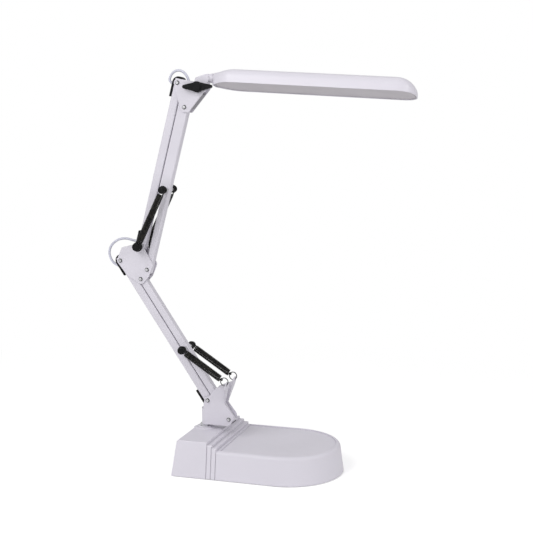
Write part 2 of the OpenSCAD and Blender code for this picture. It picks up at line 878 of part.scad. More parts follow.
lower_run = norm(ring_at - lower_pin_at);
upper_run = norm(knob_pivot - upper_pin_at);
function lower_line(side) =
    spring_line(lower_pin_at, ring_at, pin_cap_r - waist + 0.2,
                lower_run - ring_mid_r - ring_wire - 0.2, side);
function upper_line(side) =
    spring_line(upper_pin_at, knob_pivot, pin_cap_r - waist + 0.2,
                upper_run - knob_cap_r + waist - 0.2, side);
echo(least_gap_lower_spring = least_gap(lower_line(-1)));
echo(least_gap_upper_spring = least_gap(upper_line(-1)));

module spring(p) color("black") swept_tube(p, wire_d / 2, 6, [0, 1, 0]);
module lower_spring_near() spring(lower_line(-1));
module lower_spring_far() spring(lower_line(1));
module upper_spring_near() spring(upper_line(-1));
module upper_spring_far() spring(upper_line(1));

// ---------------------------------------------------------------- elbow and head plates

module elbow_plate() {
    difference() {
        slab(-plate_out, -plate_in)
            lugs(elbow_rear, [[0, 0, lug_r], [6.5, 15, lug_r], [31, 18.8, lug_r], [45.4, -5, lug_r],
                              [39.5, -19.5, lug_r], [32, -27.8, lug_r], [14, -17.2, lug_r]]);
        for (p = [elbow_rear, elbow_front, upper_foot]) rod_y(p, hole_r, -30, 30);
        rod_y(knob_pivot, pin_r + fit, -30, 30);
    }
}

module elbow_near_plate() color("lavender") elbow_plate();
module elbow_far_plate() color("lavender") mirror([0, 1, 0]) elbow_plate();

clamp_r = 2.5;
web_low = [14.6, -38.8, 2.5];
web_high = [40.5, -8, 2.8];
web_span = [0.13, 0.77];
module head_plate() {
    difference() {
        slab(-plate_out, -plate_in)
            lugs(top_rear, [[0, 0, lug_r], [10, -34, 7], web_low, web_high, [23.5, -3.8, lug_r]]);
        for (p = [top_rear, top_front]) rod_y(p, hole_r, -30, 30);
        rod_y(head_pivot, clamp_r + fit, -30, 30);
    }
}

module head_near_plate() color("lavender") head_plate();
// The far plate carries the web that joins the two at their lower front edge. The web stops
// short of the plates' corners, so light shows at both of its ends.
module head_far_plate() color("lavender") {
    mirror([0, 1, 0]) head_plate();
    a = top_rear + [web_low[0], web_low[1]];
    b = top_rear + [web_high[0], web_high[1]];
    out = [b[1] - a[1], a[0] - b[0]] / norm(b - a);
    ends = [for (s = web_span) a + s * (b - a)];
    slab(-plate_in, plate_in + 0.2)
        polygon([
            ends[0] + out * web_low[2], ends[1] + out * web_low[2],
            ends[1] + out * (web_low[2] - plate_t), ends[0] + out * (web_low[2] - plate_t)
        ]);
}

// ---------------------------------------------------------------- head

collar_r = 6.3;
spigot_r = 4.2;

// Neck between the head plates: a flat tongue on the clamp bolt that turns into a round end.
module head_neck() color("lavender")
    difference() {
        union() {
            slab(-bar_y, bar_y)
                hull() {
                    translate(head_pivot) circle(8.2, $fn = 32);
                    translate(head_pivot + [-2.4, 10.6]) circle(3.4, $fn = 32);
                    for (side = [-1, 1])
                        translate(collar_at + [-6.5, side * 2.6]) circle(3.4, $fn = 32);
                }
            translate([collar_at[0], 0, collar_at[1]]) rotate([0, head_tilt, 0])
                rotate([0, 90, 0])
                    translate([0, 0, -8]) {
                        cylinder(r = collar_r - 0.3, h = 6.2);
                        cylinder(r = spigot_r, h = 15);
                    }
        }
        rod_y(head_pivot, clamp_r + fit, -30, 30);
    }

module clamp_bolt() color("silver") {
    rod_y(head_pivot, clamp_r, -plate_out - 6, plate_out + 5);
    difference() {
        translate([head_pivot[0], plate_out + 4, head_pivot[1]]) rotate([90, 0, 0])
            cylinder(r = 4.6, h = 4, $fn = 6);
        rod_y(head_pivot, clamp_r + fit, -40, 40);
    }
}

module friction_washers() color("dimgray")
    both_sides()
        difference() {
            rod_y(head_pivot, 7, -plate_in, -bar_y);
            rod_y(head_pivot, clamp_r + fit, -30, 30);
        }

// Wing knob: a round boss with two tapering wings, hollowed where the fingers press.
knob_y = plate_out + 0.3;
module wing_knob() color("black")
    difference() {
        union() {
            rod_y(head_pivot, 7.6, -knob_y - 7.4, -knob_y);
            rod_y(head_pivot, 6, -knob_y - 8.4, -knob_y);
            for (s = [-1, 1])
                slab(-knob_y - 6.6, -knob_y - 0.6)
                    hull() {
                        translate(head_pivot) circle(6.8, $fn = 32);
                        translate(head_pivot + [s * (wing_span / 2 - 2.6), 0.4]) circle(2.6, $fn = 32);
                    }
        }
        for (s = [-1, 1], side = [-1, 1])
            rod_y(head_pivot + [s * 15.6, side * 13.6], 9, -knob_y - 9, -knob_y + 1);
        rod_y(head_pivot, clamp_r + fit, -knob_y - 6, 20);
    }

module shade_collar() color("lavender")
    in_shade() rotate([0, 90, 0])
        translate([0, 0, -1.6])
            difference() {
                union() {
                    cylinder(r = collar_r, h = 5.8);
                    translate([0, 0, 1.6]) cylinder(r = collar_r + 0.5, h = 2.2);
                }
                translate([0, 0, -1]) cylinder(r = spigot_r + fit, h = 9);
            }

// Shade: one arch carried along its axis, outside and again inside by the wall's thickness.
// Its half width opens from the collar as a quarter wave and closes at the nose as a
// superellipse. The crown rises and comes down in the same way.
shade_start = 4.3;
nose_len = 26;
flare_len = 38;
crown_len = 26;
flare_steps = 12;
nose_steps = 14;
around = 20;
function ease(t) = (1 - cos(180 * min(1, max(0, t)))) / 2;
// Share of the full size left at u, when the form closes at end.
function nose(u, end, p) =
    let (t = max(0, (u - end + nose_len) / nose_len)) pow(1 - pow(t, p), 1 / p);
function half_width(u, inset, end) =
    (8 + (shade_w / 2 - 8) * ease((u - shade_start) / flare_len) - inset) * nose(u, end, 2.6);
function lip_at(u) = -6.8 - (shade_down - 6.8) * ease((u - shade_start) / flare_len);
function crown_at(u, inset, end) =
    let (
        n = nose(u, end, 2),
        full = 7.6 + (shade_up - 7.6) * ease((u - shade_start) / crown_len) - inset
    )
        max(lip_at(u) + 0.8, n * full - (1 - n) * (shade_down - 1.6 + inset));
// Places of the arches: even along the flare, closer and closer towards the blunt tip.
function stations(begin, end) =
    let (flare_end = shade_start + flare_len + 2, nose_from = end - nose_len)
        concat(
            [for (i = [0:flare_steps]) begin + (flare_end - begin) * i / flare_steps],
            [(flare_end + nose_from) / 2],
            [for (i = [0:nose_steps]) nose_from - 0.12 + nose_len * sin(90 * i / nose_steps)]
        );
function arch(u, inset, end) = [
    for (j = [0:around])
        let (c = cos(180 * j / around), s = sin(180 * j / around), low = lip_at(u))
            [
                u, sign(c) * pow(abs(c), 0.62) * half_width(u, inset, end),
                low + (crown_at(u, inset, end) - low) * pow(s, 0.55)
            ]
];
function arches(inset) = [
    for (u = stations(shade_start + inset, shade_len - inset)) arch(u, inset, shade_len - inset)
];

module shade_form() {
    n = around + 1;
    last = flare_steps + nose_steps + 2;
    per_side = n * (last + 1);
    points = [for (inset = [0, shade_wall], row = arches(inset), q = row) q];
    // the arches' skins, the inner one facing inwards
    skins = [
        for (side = [0, 1], k = [0:last - 1], j = [0:around - 1], half = [0, 1])
            let (
                a = side * per_side + k * n + j,
                t = half == 0 ? [a, a + 1, a + n] : [a + 1, a + n + 1, a + n]
            )
                side == 0 ? t : [t[0], t[2], t[1]]
    ];
    // flat ends at the collar and at the tip
    ends = [
        for (side = [0, 1], row = [0, last], j = [1:around - 1])
            let (a = side * per_side + row * n)
                (side == 0) == (row == 0) ? [a, a + j + 1, a + j] : [a, a + j, a + j + 1]
    ];
    // the lip between the two skins, down one side and back along the other
    rim = concat([for (k = [0:last]) k * n], [for (k = [last:-1:0]) k * n + around]);
    lip = [
        for (i = [0:len(rim) - 1], half = [0, 1])
            let (a = rim[i], b = rim[(i + 1) % len(rim)])
                half == 0 ? [a, b, a + per_side] : [b, b + per_side, a + per_side]
    ];
    polyhedron(points, concat(skins, ends, lip), convexity = 6);
}

module shade_shell() color("lavender")
    in_shade()
        difference() {
            shade_form();
            rotate([0, 90, 0]) cylinder(r = spigot_r + fit, h = 12);
        }

// Posts between the shade's roof and the board, with holes for its screws.
module board_posts() color("ivory")
    in_shade()
        for (x = boss_places)
            translate([x, 0, board_top + board_t])
                difference() {
                    cylinder(r = 3, h = shade_up - shade_wall - 0.1 - board_top - board_t);
                    translate([0, 0, -1]) cylinder(r = 1.3, h = 3);
                }

// Light panel inside the shade's lip.
panel_clear = shade_wall + 0.5;
panel_from = 14;
panel_to = shade_len - 3;
module light_panel() color("gainsboro") {
    at = stations(panel_from, panel_to);
    half = [for (u = at) half_width(u, panel_clear, shade_len - panel_clear)];
    n = len(at);
    in_shade()
        translate([0, 0, -shade_down + 1])
            linear_extrude(1.6)
                polygon(concat(
                    [for (k = [0:n - 1]) [at[k], -half[k]]],
                    [for (k = [n - 1:-1:0]) [at[k], half[k]]]
                ));
}

board_from = 42;
board_to = shade_len - 34;
board_w = 30;
board_top = shade_up - 5.4;
board_t = 1.6;
boss_places = [board_from + 8, (board_from + board_to) / 2, board_to - 8];
module led_board() color("white")
    in_shade()
        difference() {
            translate([board_from, -board_w / 2, board_top])
                cube([board_to - board_from, board_w, board_t]);
            for (x = boss_places)
                translate([x, 0, board_top - 1]) cylinder(r = 1.6, h = 4);
        }
module led_screws() color("silver")
    in_shade()
        for (x = boss_places) translate([x, 0, 0]) {
            translate([0, 0, board_top - 1.4]) cylinder(r = 2.6, h = 1.4);
            translate([0, 0, board_top - 0.1]) cylinder(r = 1.25, h = board_t + 1.6);
        }

chips = 24;
chip = [3, 3, 1.8];
module led_chips() color("khaki")
    in_shade() {
        first = board_from + 12;
        pitch = (board_to - board_from - 24) / (chips - 1);
        for (k = [0:chips - 1], s = [-1, 1])
            translate([first + k * pitch, s * 8, board_top - chip[2] / 2])
                cube(chip, center = true);
    }

// ---------------------------------------------------------------- cable

// Loops outside the arms, as round points of their routes in the arm's plane.
elbow_out = foot_rear + (link_len - outlet_z) * lean_dir(-lower_lean);
elbow_in = knob_pivot + (outlet_z + 1.2) * lean_dir(upper_lean);
top_out = knob_pivot + (link_len - outlet_z) * lean_dir(upper_lean);
lower_back = -[cos(lower_lean), sin(lower_lean)];
upper_back = -[cos(upper_lean), -sin(upper_lean)];
elbow_route = concat(
    [for (s = [7, 9, 11]) elbow_out + s * lower_back],
    [for (q = [[-14, -5], [-18, -0.5], [-20.5, 5], [-21.4, 10.5], [-20, 17], [-16.5, 22.5],
               [-11.5, 27], [-5, 30.4], [2.5, 31.8], [9.5, 31.4], [15, 30]]) elbow_rear + q],
    [for (s = [11, 9, 7]) elbow_in + s * upper_back]
);
top_route = concat(
    [for (s = [7, 9, 11]) top_out + s * upper_back],
    [for (q = [[-15, 4], [-14, 9], [-11, 13.6], [-6, 16.9], [-1, 17.6], [4, 16.2],
               [8.2, 13], [11.4, 8.8], [13.4, 4.2], [15.4, -0.6], [18.2, -3.6],
               [20.6, -5.1]]) top_rear + q]
);

// Points between the given ones, on a smooth curve through them.
function blend_points(p, i, t) =
    let (
        a = p[max(i - 1, 0)], b = p[i], c = p[i + 1], d = p[min(i + 2, len(p) - 1)]
    )
        0.5 * (2 * b + (c - a) * t + (2 * a - 5 * b + 4 * c - d) * t * t
            + (3 * b - a - 3 * c + d) * t * t * t);
function smooth(p, n) = concat(
    [for (i = [0:len(p) - 2], k = [0:n - 1]) blend_points(p, i, k / n)],
    [p[len(p) - 1]]
);
module cable_along(p) color("lightsteelblue")
    swept_tube([for (q = smooth(p, 2)) [q[0], 0, q[1]]], cable_d / 2, 8, [0, 1, 0]);

module elbow_cable_loop() cable_along(elbow_route);
module top_cable_loop() cable_along(top_route);

// Straight runs inside the rear bars, lying on their back walls between the sleeves.
module cable_run(p, lean) color("lightsteelblue")
    along_bar(p, lean)
        translate([-rear_bar_w / 2 + bar_wall + cable_d / 2 + 0.1, 0, 7])
            cylinder(r = cable_d / 2, h = link_len - 14);
module lower_cable() cable_run(foot_rear, -lower_lean);
module upper_cable() cable_run(knob_pivot, upper_lean);

// ---------------------------------------------------------------- nodes

foam_pad();
bottom_plate();
ballast();
base_housing();
base_screws();
swivel_bush();
driver_board();
driver_spacers();
rear_panel();
inlet_socket();
switch_body();
switch_rocker();
foot_bracket();
swivel_post();
swivel_nut();
foot_sleeves();
foot_screws();
spring_rings();
lower_rear_bar();
lower_rear_caps();
lower_cable();
lower_front_bar();
lower_front_plugs();
lower_spring_pin();
lower_pin_caps();
lower_spring_near();
lower_spring_far();
elbow_near_plate();
elbow_far_plate();
elbow_sleeves();
elbow_screws();
elbow_pin();
elbow_pin_caps();
elbow_cable_loop();
upper_rear_bar();
upper_rear_caps();
upper_cable();
upper_front_bar();
upper_front_plugs();
upper_spring_pin();
upper_pin_caps();
upper_spring_near();
upper_spring_far();
head_near_plate();
head_far_plate();
head_sleeves();
head_screws();
top_cable_loop();
head_neck();
friction_washers();
clamp_bolt();
wing_knob();
shade_collar();
shade_shell();
light_panel();
board_posts();
led_board();
led_screws();
led_chips();
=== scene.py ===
"""Finishes, wound springs, cable loops, smooth shade and studio of the folding LED desk lamp.

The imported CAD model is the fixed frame. Everything here is in metres in that frame: +X points
from the rear of the base to its round front, +Y away from the viewer and +Z up.
"""

import math

import bpy
import numpy as np
from bpy.props import FloatProperty, FloatVectorProperty, IntProperty, PointerProperty
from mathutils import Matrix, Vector


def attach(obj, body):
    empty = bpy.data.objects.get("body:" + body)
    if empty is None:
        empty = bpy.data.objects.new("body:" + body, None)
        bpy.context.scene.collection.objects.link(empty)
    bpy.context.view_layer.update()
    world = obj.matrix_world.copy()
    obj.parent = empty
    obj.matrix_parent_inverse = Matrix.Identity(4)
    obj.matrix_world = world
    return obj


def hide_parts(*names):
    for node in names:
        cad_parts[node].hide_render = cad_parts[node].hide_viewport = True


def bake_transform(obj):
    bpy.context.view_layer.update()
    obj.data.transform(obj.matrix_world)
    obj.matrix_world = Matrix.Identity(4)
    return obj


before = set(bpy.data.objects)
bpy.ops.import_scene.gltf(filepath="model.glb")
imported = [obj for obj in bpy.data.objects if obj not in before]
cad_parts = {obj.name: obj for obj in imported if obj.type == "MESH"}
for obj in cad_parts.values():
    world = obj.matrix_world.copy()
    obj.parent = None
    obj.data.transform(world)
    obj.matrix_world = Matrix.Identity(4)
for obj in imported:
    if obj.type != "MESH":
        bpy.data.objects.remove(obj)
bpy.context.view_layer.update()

bl_info = {
    "name": "Folding desk lamp",
    "version": (1, 0, 0),
    "blender": (4, 5, 0),
    "location": "View3D > Sidebar > Desk lamp",
    "description": "Finishes and fine pieces of a folding LED desk lamp on its CAD frame",
    "category": "Object",
}

MM = 0.001


# ------------------------------------------------------------------ places in the arm's plane

def lean(degrees):
    """Unit direction [x, z] of a bar that leans forward from upright by the angle."""
    return np.array([math.sin(math.radians(degrees)), math.cos(math.radians(degrees))])


def behind(degrees):
    """Unit direction [x, z] backwards, square to a bar with that lean."""
    return -np.array([math.cos(math.radians(degrees)), -math.sin(math.radians(degrees))])


LINK = 240.0
LOWER_LEAN, UPPER_LEAN = -34.0, 14.6
FOOT_REAR = np.array([7.6, 93.4])
FOOT_FRONT = FOOT_REAR + [32, -26]
ELBOW_REAR = FOOT_REAR + LINK * lean(LOWER_LEAN)
KNOB_PIVOT = ELBOW_REAR + [32, 22]
UPPER_FOOT = KNOB_PIVOT + [10, -34]
TOP_REAR = KNOB_PIVOT + LINK * lean(UPPER_LEAN)
HEAD_PIVOT = TOP_REAR + [31, -6.5]
COLLAR_AT = HEAD_PIVOT + [17.5, 12]
LOWER_PIN = FOOT_FRONT + LINK / 2 * lean(LOWER_LEAN)
UPPER_PIN = UPPER_FOOT + LINK / 2 * lean(UPPER_LEAN)
# Where the cable leaves the rear bars, along them, and where it comes out of the elbow's knob.
OUTLET, KNOB_OUTLET = LINK - 2.8, 4.0
HEAD_TILT, HEAD_ROLL = 3.8, 8.7
# The lower springs' rings: through a slot 31 mm up the wing and half its sheet back, then 5.6 mm
# to the ring's middle.
WING_ROOT, WING_LEAN, SLOT_UP, HALF_SHEET = np.array([33.8, 90.0]), 12.5, 31.0, 0.75
RING_PULL, RING_R = math.radians(60), 5.6
SLOT_AT = WING_ROOT + SLOT_UP * lean(WING_LEAN) + HALF_SHEET * behind(WING_LEAN)
RING_AT = SLOT_AT + RING_R * np.array([-math.cos(RING_PULL), math.sin(RING_PULL)])

# The shade, in millimetres from the collar: where it starts, the lengths of its flare and nose,
# its half width and crown at the start, the crown's rise, and the height of its lip.
SHADE_START, FLARE, NOSE = 4.3, 30.6, 26.0
MOUTH_HALF, MOUTH_CROWN, CROWN_RISE, LIP = 7.6, 7.5, 4.1, -10.0


def in_plane(point, y=0.0):
    """A point [x, z] of the arm's plane, in millimetres, as [x, y, z] in metres."""
    return np.array([point[0], y, point[1]]) * MM


# ------------------------------------------------------------------ settings

class LampSizes(bpy.types.PropertyGroup):
    """Sizes of the pieces made here, in metres."""

    wire: FloatProperty(name="Spring wire", description="Diameter of the spring wire",
                        default=0.0017, unit="LENGTH")
    coil: FloatProperty(name="Spring coil", description="Outer diameter of the springs",
                        default=0.0100, unit="LENGTH")
    lower_turns: IntProperty(name="Lower turns", description="Turns in each lower spring",
                             default=33)
    upper_turns: IntProperty(name="Upper turns", description="Turns in each upper spring",
                             default=38)
    spring_y: FloatProperty(name="Spring offset", description="Distance of the springs' axes from "
                            "the middle plane", default=0.0193, unit="LENGTH")
    cable: FloatProperty(name="Cable", description="Diameter of the cable", default=0.0036,
                         unit="LENGTH")
    shade_length: FloatProperty(name="Shade length", description="Collar to tip of the shade",
                                default=0.288, unit="LENGTH")
    shade_width: FloatProperty(name="Shade width", description="Width over the shade's lips",
                               default=0.064, unit="LENGTH")
    shade_wall: FloatProperty(name="Shade wall", description="Thickness of the shade's wall",
                              default=0.0016, unit="LENGTH")


class LampColours(bpy.types.PropertyGroup):
    """Colours of the finishes."""

    paint: FloatVectorProperty(name="Pale paint", description="Powder coat of the sheet parts",
                               default=(0.680, 0.656, 0.722), subtype="COLOR", min=0, max=1)
    plastic: FloatVectorProperty(name="Pale plastic", description="Base housing and shade",
                                 default=(0.715, 0.690, 0.760), subtype="COLOR", min=0, max=1)
    black: FloatVectorProperty(name="Black plastic", description="Caps, plugs and the wing knob",
                               default=(0.006, 0.006, 0.007), subtype="COLOR", min=0, max=1)
    steel: FloatVectorProperty(name="Bright steel", description="Screws, nuts, pins and rings",
                               default=(0.70, 0.70, 0.72), subtype="COLOR", min=0, max=1)
    panel: FloatVectorProperty(name="Light panel", description="Unlit panel below the shade",
                               default=(0.495, 0.462, 0.500), subtype="COLOR", min=0, max=1)
    cable: FloatVectorProperty(name="Cable", description="Sleeve of the cable",
                               default=(0.60, 0.60, 0.70), subtype="COLOR", min=0, max=1)


class StageSettings(bpy.types.PropertyGroup):
    """The studio's light and camera."""

    key: FloatProperty(name="Key light", description="Power of the large light at upper left",
                       default=16.0, unit="POWER")
    side: FloatProperty(name="Side light", description="Power of the light at the right",
                        default=8.5, unit="POWER")
    top: FloatProperty(name="Top light", description="Power of the light overhead",
                       default=1.5, unit="POWER")
    front: FloatProperty(name="Front light", description="Power of the light at head height",
                         default=1.5, unit="POWER")
    fill: FloatProperty(name="Fill", description="Strength of the light from all round",
                        default=0.53)
    lift: FloatProperty(name="Floor lift", description="Light that the camera sees on the floor "
                        "over its own shade, so that only shadows stay below white",
                        default=0.32)
    view_angle: FloatProperty(name="View angle", description="Full angle of view of the camera",
                              default=math.radians(30.28), subtype="ANGLE")


# ------------------------------------------------------------------ node maths

class Signal:
    """One output socket of a finish's node tree. Sums and products on it add Math nodes."""

    def __init__(self, finish, socket):
        self.finish, self.socket = finish, socket

    def _maths(self, operation, *values):
        return self.finish.node("ShaderNodeMath", {"operation": operation},
                                dict(enumerate(values)))

    def __add__(self, other):
        return self._maths("ADD", self, other)

    __radd__ = __add__

    def __mul__(self, other):
        return self._maths("MULTIPLY", self, other)

    __rmul__ = __mul__

    def __sub__(self, other):
        return self._maths("SUBTRACT", self, other)

    def __rsub__(self, other):
        return self._maths("SUBTRACT", other, self)

    def __pow__(self, other):
        return self._maths("POWER", self, other)

    def __abs__(self):
        return self._maths("ABSOLUTE", self)

    def least(self, other):
        """The smaller of the two values."""
        return self._maths("MINIMUM", self, other)

    def clamped(self, low, high):
        """The value mapped from low..high to 0..1 and held inside it."""
        return self.finish.node("ShaderNodeMapRange", {"clamp": True},
                                {"Value": self, "From Min": low, "From Max": high})


class Finish:
    """A material, or the world, whose nodes are written as expressions."""

    def __init__(self, name, world=None):
        self.material = world or bpy.data.materials.new(name)
        self.material.use_nodes = True
        self.tree = self.material.node_tree
        self.shader = None if world else self.existing("BSDF_PRINCIPLED")

    def existing(self, *kinds):
        """The node of one of these types that is there from the start."""
        return next(n for n in self.tree.nodes if n.type in kinds)

    def show(self, shader):
        """Makes the shader the surface of the material or world."""
        out = self.existing("OUTPUT_MATERIAL", "OUTPUT_WORLD")
        self.tree.links.new(shader.socket, out.inputs["Surface"])

    def axis(self, letter):
        """The object coordinate along X, Y or Z."""
        return self.node("ShaderNodeSeparateXYZ", None, {0: self.place()}, output=letter)

    def seen_by(self, ray):
        """1 for a ray of that sort and 0 for others."""
        return self.node("ShaderNodeLightPath", output=f"Is {ray} Ray")

    def node(self, kind, settings=None, inputs=None, output=0):
        """Adds a node: its settings first, then the values or links of its sockets."""
        made = self.tree.nodes.new(kind)
        for key, value in (settings or {}).items():
            setattr(made, key, value)
        for key, value in (inputs or {}).items():
            socket = made.inputs[key]
            if isinstance(value, Signal):
                self.tree.links.new(value.socket, socket)
            else:
                socket.default_value = value
        return Signal(self, made.outputs[output])

    def place(self, scale=(1, 1, 1), turn=(0, 0, 0)):
        """Object coordinates, stretched and turned."""
        where = self.node("ShaderNodeTexCoord", output="Object")
        return self.node("ShaderNodeMapping", None,
                         {"Vector": where, "Scale": scale, "Rotation": turn})

    def noise(self, size, detail=2.0, stretch=(1, 1, 1), turn=(0, 0, 0)):
        """Noise whose patches are about size metres across, from 0 to 1."""
        return self.node("ShaderNodeTexNoise", None,
                         {"Vector": self.place(stretch, turn), "Scale": 1 / size,
                          "Detail": detail})

    def mixed(self, share, a, b):
        """Colour a where share is 0 and colour b where it is 1."""
        return self.node("ShaderNodeMix", {"data_type": "RGBA"}, {"Factor": share, 6: a, 7: b},
                         output=2)

    def bump(self, height, depth, radius=0.0):
        """The normal of a surface with that height map, its sharp edges rounded by radius."""
        inputs = {"Height": height, "Distance": depth, "Strength": 1.0}
        if radius:
            inputs["Normal"] = self.node("ShaderNodeBevel", {"samples": 6}, {"Radius": radius})
        return self.node("ShaderNodeBump", None, inputs)

    def openness(self, reach, low, high, inside=False):
        """0 where surfaces, or inside it the wall's own, close in within reach, 1 in the open."""
        near = self.node("ShaderNodeAmbientOcclusion", {"samples": 6, "inside": inside},
                         {"Distance": reach}, output="AO")
        return near.clamped(low, high)

    def crevice(self, reach):
        """0 in corners and seams, 1 in the open."""
        return self.openness(reach, 0.25, 0.85)

    def set(self, **values):
        """Sets or links the shader's sockets, named with _ for spaces."""
        for key, value in values.items():
            socket = self.shader.inputs[key.replace("_", " ")]
            if isinstance(value, Signal):
                self.tree.links.new(value.socket, socket)
            elif isinstance(value, (tuple, list)) and len(value) == 3:
                socket.default_value = (*value, 1.0)
            else:
                socket.default_value = value
        return self


def tone(colour, factor):
    """A colour made lighter or darker by a factor, with full alpha."""
    return (*[min(1.0, c * factor) for c in colour], 1.0)


# ------------------------------------------------------------------ finishes

def powder_coat(name, colour, radius=0.0005, reach=0.0015, corner_shade=0.8, shaded_web_to=None):
    """Pale powder coat on sheet metal: orange peel, faint clouding and painted shade in the
    corners.

    With a web limit, the web that joins two plates gets painted shade, dark grey up to that place
    across the lamp."""
    f = Finish(name)
    clouds, peel, wear_and_edge_highlight = f.noise(0.05, 3), f.noise(0.0007, 2), f.noise(0.006, 4)
    open_colour = f.mixed(clouds.clamped(0.35, 0.75), tone(colour, 1.02), tone(colour, 0.955))
    if shaded_web_to:
        # Painted shade on the web between the plates, which faces away from the lamps: darkened to
        # grey.
        open_colour = f.mixed(f.axis("Y").clamped(shaded_web_to - 0.0003, shaded_web_to), tone(colour, 0.36), open_colour)
    # Painted shade in corners and seams: the colour is darkened where surfaces close in.
    f.set(Base_Color=f.mixed(f.crevice(reach), tone(colour, corner_shade), open_colour),
          Roughness=0.34 + 0.10 * wear_and_edge_highlight + 0.05 * peel,
          Normal=f.bump(peel + 0.25 * wear_and_edge_highlight, 0.00004, radius))
    return f.material


def moulded(name, colour, grain=0.00045, depth=0.00002, rough=0.42, radius=0.0008, wear=0.10,
            wear_and_edge_highlight=0.0):
    """Moulded plastic: fine spark-eroded grain, slow colour drift, a few rubbed patches and
    painted shade in its corners.

    With an edge reach, convex edges are painted paler as a highlight where the material behind
    them is thinner than that reach."""
    f = Finish(name)
    drift, eroded, rubbed = f.noise(0.09, 2), f.noise(grain, 2), f.noise(0.018, 5)
    open_colour = f.mixed(drift.clamped(0.3, 0.7), tone(colour, 1.0), tone(colour, 0.965))
    # Painted highlight: convex edges are made paler where the wall behind them is thin.
    if wear_and_edge_highlight:
        open_colour = f.mixed(f.openness(wear_and_edge_highlight, 0.55, 0.95, inside=True), tone(colour, 1.14), open_colour)
    # Painted shade in corners and seams: the colour is darkened where surfaces close in.
    f.set(Base_Color=f.mixed(f.crevice(0.002), tone(colour, 0.74), open_colour),
          Roughness=rough + wear * rubbed.clamped(0.4, 0.65) + 0.03 * eroded,
          Normal=f.bump(eroded, depth, radius),
          Specular_IOR_Level=0.45)
    return f.material


def black_moulding(name, colour, rough=0.26):
    """Black nylon of the caps and knob: deep, a little glossy, dull where fingers wear it."""
    f = Finish(name)
    worn, grain = f.noise(0.004, 4), f.noise(0.0005, 2)
    f.set(Base_Color=f.mixed(worn.clamped(0.5, 0.8), tone(colour, 1.0), tone(colour, 1.8)),
          Roughness=rough + 0.16 * worn, Specular_IOR_Level=0.14,
          Normal=f.bump(grain, 0.000025, 0.0004))
    return f.material


def black_wire(name, colour):
    """Black enamelled spring wire: drawing marks and a little brown-grey dust."""
    f = Finish(name)
    dust, drawn = f.noise(0.003, 4), f.noise(0.0006, 2, (1, 1, 0.3))
    f.set(Base_Color=f.mixed(dust.clamped(0.42, 0.72), tone(colour, 1.0),
                             (0.038, 0.035, 0.028, 1)),
          Roughness=0.26 + 0.20 * dust, Normal=f.bump(drawn, 0.00002), Specular_IOR_Level=0.16)
    return f.material


def bright_steel(name, colour, stretch=(1, 1, 0.05)):
    """Zinc-plated steel: brushed one way, with cloudy plating."""
    f = Finish(name)
    plating, brushed = f.noise(0.004, 4), f.noise(0.0004, 3, stretch)
    f.set(Base_Color=f.mixed(plating.clamped(0.35, 0.7), tone(colour, 1.05), tone(colour, 0.8)),
          Metallic=1.0, Roughness=0.20 + 0.18 * brushed,
          Normal=f.bump(brushed, 0.00002, 0.0003))
    return f.material


def screw_steel(name, colour, pivots):
    """Zinc-plated screws with a cross recess in each head at the pivots of the arm's plane.

    A point is in the recess's painted shade where it lies within 0.35 mm of one of the two arms of
    the cross and within 1.3 mm of the screw's axis. A ring of painted shade runs round the crown
    of each head, 2.4 mm from the axis."""
    f = Finish(name)
    plating, brushed = f.noise(0.004, 4), f.noise(0.0004, 3)
    x, z = f.axis("X"), f.axis("Z")
    recess = from_axis = None
    for px, pz in pivots:
        dx, dz = x - px * MM, z - pz * MM
        u, v = 0.8 * dx + 0.6 * dz, 0.8 * dz - 0.6 * dx
        off = abs(u).least(abs(v))
        far = (dx * dx + dz * dz) ** 0.5
        slot = (1 - off.clamped(0.00022, 0.00035)) * (1 - far.clamped(0.0011, 0.0014))
        recess = slot if recess is None else recess + slot
        from_axis = far if from_axis is None else from_axis.least(far)
    # Painted shade: a dark ring round each head's crown.
    shade_ring = from_axis.clamped(0.0016, 0.0020) * (1 - from_axis.clamped(0.0029, 0.0033))
    metal = f.mixed(shade_ring, tone(colour, 1.32), tone(colour, 0.10))
    # Painted shade in the cross recess.
    f.set(Base_Color=f.mixed(recess, metal, tone(colour, 0.3)), Metallic=0.5,
          Roughness=0.24 + 0.18 * brushed + 0.1 * plating,
          Normal=f.bump(brushed, 0.00002, 0.0003))
    return f.material


def prism_panel(name, colour):
    """Unlit diffuser: rows of fine prisms under milky plastic."""
    f = Finish(name)
    where = f.place((1 / 0.0024, 1 / 0.0024, 1 / 0.0024))
    rows = f.node("ShaderNodeTexWave", {"wave_type": "BANDS", "bands_direction": "X"},
                  {"Vector": where, "Scale": 0.5, "Distortion": 0.0})
    milk = f.noise(0.03, 3)
    f.set(Base_Color=f.mixed(milk.clamped(0.3, 0.7), tone(colour, 1.03), tone(colour, 0.95)),
          Roughness=0.30 + 0.12 * milk, Normal=f.bump(rows, 0.00006))
    return f.material


def cable_sleeve(name, colour):
    """Soft PVC sleeve: smooth, a little translucent-looking and dusty."""
    f = Finish(name)
    dust, skin = f.noise(0.004, 4), f.noise(0.0008, 2)
    f.set(Base_Color=f.mixed(dust.clamped(0.4, 0.8), tone(colour, 1.05), tone(colour, 0.85)),
          Roughness=0.38 + 0.14 * dust, Normal=f.bump(skin, 0.00002))
    return f.material


def foam(name):
    """Closed-cell foam pad: dark, pitted and dull."""
    f = Finish(name)
    cells = f.node("ShaderNodeTexVoronoi", None, {"Vector": f.place(), "Scale": 900.0})
    f.set(Base_Color=f.mixed(cells.clamped(0.0, 0.5), (0.006, 0.006, 0.007, 1),
                             (0.03, 0.03, 0.032, 1)),
          Roughness=0.85 + 0.1 * cells, Normal=f.bump(cells, 0.0002))
    return f.material


